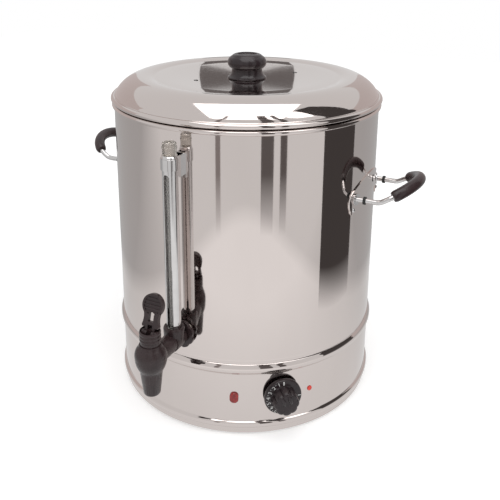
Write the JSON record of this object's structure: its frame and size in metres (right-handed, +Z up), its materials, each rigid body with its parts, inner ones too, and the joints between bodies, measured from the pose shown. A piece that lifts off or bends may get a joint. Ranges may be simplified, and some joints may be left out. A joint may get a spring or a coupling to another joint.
{
  "type": "hot water urn",
  "caption": "Upright round catering urn with a lift-off domed lid, two side handles, a lever tap under a guarded sight gauge, a dial and a lamp on its base.",
  "frame": {"origin": "on the vessel's axis, at the level of the surface that the rubber feet stand on", "axes": "+Z up along the vessel's axis, -Y towards the tap, +X to the right for someone facing the tap"},
  "size_m": [0.5016, 0.4689, 0.4673],
  "materials": {
    "polished_steel": "mirror polished",
    "plain_steel": "satin",
    "element_steel": "heat darkened",
    "chrome": "bright",
    "brass": "satin",
    "copper": "satin",
    "rubber": "matt",
    "silicone": "satin",
    "dark_plastic": "semi gloss",
    "white_plastic": "matt",
    "lamp_red": "gloss",
    "dot_red": "gloss",
    "clear_glass": "clear",
    "clear_plastic": "clear"
  },
  "bodies": {
    "urn": {"tank": "polished_steel", "base_skirt": "polished_steel", "base_plate": "plain_steel", "base_screws": "plain_steel", "cover_brackets": "plain_steel", "rubber_feet": "rubber", "heating_element": "element_steel", "element_nuts": "brass", "element_seals": "silicone", "thermostat": "plain_steel", "thermostat_nut": "plain_steel", "sensor_bulb": "copper", "boil_dry_cutout": "dark_plastic", "terminal_block": "white_plastic", "earth_stud": "brass", "cable_gland": "dark_plastic", "lamp_lens": "lamp_red", "lamp_body": "dark_plastic", "pointer_dot": "dot_red", "tap_body": "dark_plastic", "tap_outer_nut": "dark_plastic", "tap_inner_nut": "dark_plastic", "tap_outer_washer": "silicone", "tap_inner_washer": "silicone", "tap_bonnet": "dark_plastic", "lever_pin": "plain_steel", "gauge_glass": "clear_glass", "gauge_guard": "chrome", "gauge_seal": "silicone", "gauge_cap": "clear_plastic", "gauge_clip": "chrome", "handle_wire_right": "chrome", "handle_grip_right": "dark_plastic", "handle_ferrules_right": "rubber", "handle_plate_right": "polished_steel", "handle_rivets_right": "plain_steel", "handle_wire_left": "chrome", "handle_grip_left": "dark_plastic", "handle_ferrules_left": "rubber", "handle_plate_left": "polished_steel", "handle_rivets_left": "plain_steel"},
    "lid": {"lid_shell": "polished_steel", "lid_knob": "dark_plastic", "lid_screw": "plain_steel", "lid_washer": "plain_steel"},
    "lever": {"tap_lever": "dark_plastic"},
    "stem": {"valve_stem": "dark_plastic", "seat_cup": "silicone", "valve_spring": "plain_steel"},
    "dial": {"dial_knob": "dark_plastic", "dial_shaft": "brass"}
  },
  "joints": [
    {"name": "lid_lift", "type": "slide", "parent": "urn", "child": "lid", "axis": [0, 0, 1], "range_m": [0, 0.12]},
    {"name": "lever_tilt", "type": "hinge", "parent": "urn", "child": "lever", "pos_m": [0, -0.252, 0.176], "axis": [1, 0, 0], "range_deg": [0, 35], "stiffness_Nm_per_rad": 0.2, "springref_deg": -11.46},
    {"name": "stem_lift", "type": "slide", "parent": "urn", "child": "stem", "axis": [0, 0, 1], "range_m": [0, 0.0036], "deforming": ["valve_spring"]},
    {"name": "dial_turn", "type": "hinge", "parent": "urn", "child": "dial", "pos_m": [0.12019, -0.13826, 0.058], "axis": [-0.6561, 0.7547, 0], "range_deg": [0, 250]}
  ],
  "couplings": [
    {"joint": "stem_lift", "follows": "lever_tilt", "m_per_rad": 0.00585}
  ]
}
